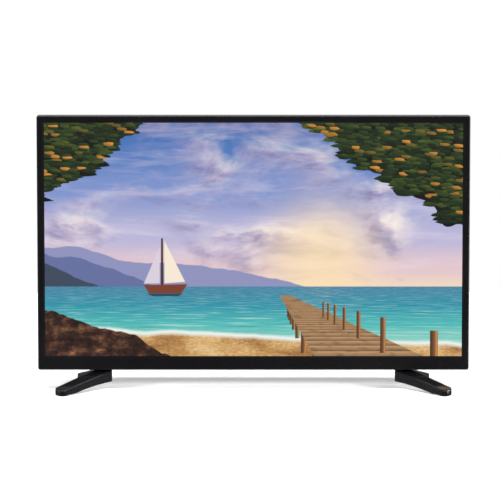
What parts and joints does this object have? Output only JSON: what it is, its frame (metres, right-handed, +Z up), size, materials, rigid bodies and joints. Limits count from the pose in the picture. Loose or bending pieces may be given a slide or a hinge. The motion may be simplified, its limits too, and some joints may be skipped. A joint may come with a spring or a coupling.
{
  "type": "flat screen television",
  "caption": "Flat screen television with a slim gloss bezel, deep lower back and V-shaped screw-on feet.",
  "frame": {"origin": "on the table, in the middle of the set's width and of the feet's length", "axes": "+X to the viewer's right, +Y from the screen to the back, +Z up; the screen faces -Y"},
  "size_m": [0.722, 0.2005, 0.46],
  "materials": {
    "front_frame": "gloss black moulded ABS",
    "panel_gasket": "black foam strip",
    "front_polariser": "polarising film over the lit picture",
    "lcd_glass": "bonded display glass",
    "rear_polariser": "grey polarising film",
    "mid_frame": "fine textured black moulded plastic",
    "optical_films": "frosted film",
    "diffuser_plate": "milky plate",
    "backlight_pan": "galvanised steel sheet",
    "reflector_sheet": "white foamed film",
    "led_bars": "aluminium backed strip",
    "led_lenses": "clear moulded lens",
    "diffuser_posts": "white moulded post",
    "source_boards": "green lacquered circuit board",
    "panel_flexes": "amber film",
    "panel_cables": "white flat cable",
    "timing_board": "green lacquered circuit board",
    "rear_cover": "fine textured black moulded plastic",
    "main_board": "green lacquered circuit board",
    "main_board_chips": "moulded chips and cans",
    "chip_heat_sink": "extruded fins",
    "hdmi_sockets": "tinned steel shell",
    "usb_sockets": "tinned steel shell",
    "aerial_socket": "tinned steel shell",
    "av_jacks": "moulded jacks with plated sleeves",
    "headphone_jack": "moulded jack",
    "lan_socket": "tinned steel shell",
    "power_board": "brown paper based circuit board",
    "power_components": "sleeved and taped components",
    "power_heat_sinks": "bent sheet",
    "mains_inlet": "moulded inlet",
    "inlet_pins": "plated brass pins",
    "vesa_posts": "zinc plated steel",
    "key_switches": "small moulded switches",
    "key_board": "green lacquered circuit board",
    "speaker_boxes": "fine textured black moulded plastic",
    "speaker_baskets": "zinc plated steel",
    "speaker_cone_left": "pressed paper cone",
    "speaker_cone_right": "pressed paper cone",
    "speaker_surround_left": "soft rubber ring",
    "speaker_surround_right": "soft rubber ring",
    "left_foot": "gloss black moulded ABS",
    "right_foot": "gloss black moulded ABS",
    "foot_pads": "black rubber",
    "foot_brackets": "zinc plated steel",
    "foot_screws": "zinc plated steel",
    "cover_screws": "black oxide screws",
    "board_screws": "zinc plated steel",
    "frame_screws": "zinc plated steel",
    "front_lenses": "smoked dark red window",
    "receiver_board": "green lacquered circuit board",
    "wiring_leads": "insulated leads",
    "cable_clips": "white nylon",
    "key_power": "fine textured black moulded plastic",
    "key_source": "fine textured black moulded plastic",
    "key_menu": "fine textured black moulded plastic",
    "key_volume_up": "fine textured black moulded plastic",
    "key_volume_down": "fine textured black moulded plastic",
    "key_channel_up": "fine textured black moulded plastic",
    "key_channel_down": "fine textured black moulded plastic"
  },
  "bodies": {
    "root": {"front_frame": "front_frame", "panel_gasket": "panel_gasket", "front_polariser": "front_polariser", "lcd_glass": "lcd_glass", "rear_polariser": "rear_polariser", "mid_frame": "mid_frame", "optical_films": "optical_films", "diffuser_plate": "diffuser_plate", "backlight_pan": "backlight_pan", "reflector_sheet": "reflector_sheet", "led_bars": "led_bars", "led_lenses": "led_lenses", "diffuser_posts": "diffuser_posts", "source_boards": "source_boards", "panel_flexes": "panel_flexes", "panel_cables": "panel_cables", "timing_board": "timing_board", "rear_cover": "rear_cover", "main_board": "main_board", "main_board_chips": "main_board_chips", "chip_heat_sink": "chip_heat_sink", "hdmi_sockets": "hdmi_sockets", "usb_sockets": "usb_sockets", "aerial_socket": "aerial_socket", "av_jacks": "av_jacks", "headphone_jack": "headphone_jack", "lan_socket": "lan_socket", "power_board": "power_board", "power_components": "power_components", "power_heat_sinks": "power_heat_sinks", "mains_inlet": "mains_inlet", "inlet_pins": "inlet_pins", "vesa_posts": "vesa_posts", "key_switches": "key_switches", "key_board": "key_board", "speaker_boxes": "speaker_boxes", "speaker_baskets": "speaker_baskets", "speaker_surround_left": "speaker_surround_left", "speaker_surround_right": "speaker_surround_right", "left_foot": "left_foot", "right_foot": "right_foot", "foot_pads": "foot_pads", "foot_brackets": "foot_brackets", "foot_screws": "foot_screws", "cover_screws": "cover_screws", "board_screws": "board_screws", "frame_screws": "frame_screws", "front_lenses": "front_lenses", "receiver_board": "receiver_board", "wiring_leads": "wiring_leads", "cable_clips": "cable_clips"},
    "key_power": {"key_power": "key_power"},
    "key_source": {"key_source": "key_source"},
    "key_menu": {"key_menu": "key_menu"},
    "key_volume_up": {"key_volume_up": "key_volume_up"},
    "key_volume_down": {"key_volume_down": "key_volume_down"},
    "key_channel_up": {"key_channel_up": "key_channel_up"},
    "key_channel_down": {"key_channel_down": "key_channel_down"},
    "speaker_cone_left": {"speaker_cone_left": "speaker_cone_left"},
    "speaker_cone_right": {"speaker_cone_right": "speaker_cone_right"}
  },
  "joints": [
    {"name": "key_power_press", "type": "slide", "parent": "root", "child": "key_power", "axis": [-1, 0, 0], "range_m": [0, 0.0008], "stiffness_N_per_m": 1500},
    {"name": "key_source_press", "type": "slide", "parent": "root", "child": "key_source", "axis": [-1, 0, 0], "range_m": [0, 0.0008], "stiffness_N_per_m": 1500},
    {"name": "key_menu_press", "type": "slide", "parent": "root", "child": "key_menu", "axis": [-1, 0, 0], "range_m": [0, 0.0008], "stiffness_N_per_m": 1500},
    {"name": "key_volume_up_press", "type": "slide", "parent": "root", "child": "key_volume_up", "axis": [-1, 0, 0], "range_m": [0, 0.0008], "stiffness_N_per_m": 1500},
    {"name": "key_volume_down_press", "type": "slide", "parent": "root", "child": "key_volume_down", "axis": [-1, 0, 0], "range_m": [0, 0.0008], "stiffness_N_per_m": 1500},
    {"name": "key_channel_up_press", "type": "slide", "parent": "root", "child": "key_channel_up", "axis": [-1, 0, 0], "range_m": [0, 0.0008], "stiffness_N_per_m": 1500},
    {"name": "key_channel_down_press", "type": "slide", "parent": "root", "child": "key_channel_down", "axis": [-1, 0, 0], "range_m": [0, 0.0008], "stiffness_N_per_m": 1500},
    {"name": "speaker_cone_left_travel", "type": "slide", "parent": "root", "child": "speaker_cone_left", "axis": [0, 0, 1], "range_m": [-0.001, 0.001], "stiffness_N_per_m": 900, "deforming": ["speaker_surround_left"]},
    {"name": "speaker_cone_right_travel", "type": "slide", "parent": "root", "child": "speaker_cone_right", "axis": [0, 0, 1], "range_m": [-0.001, 0.001], "stiffness_N_per_m": 900, "deforming": ["speaker_surround_right"]}
  ]
}
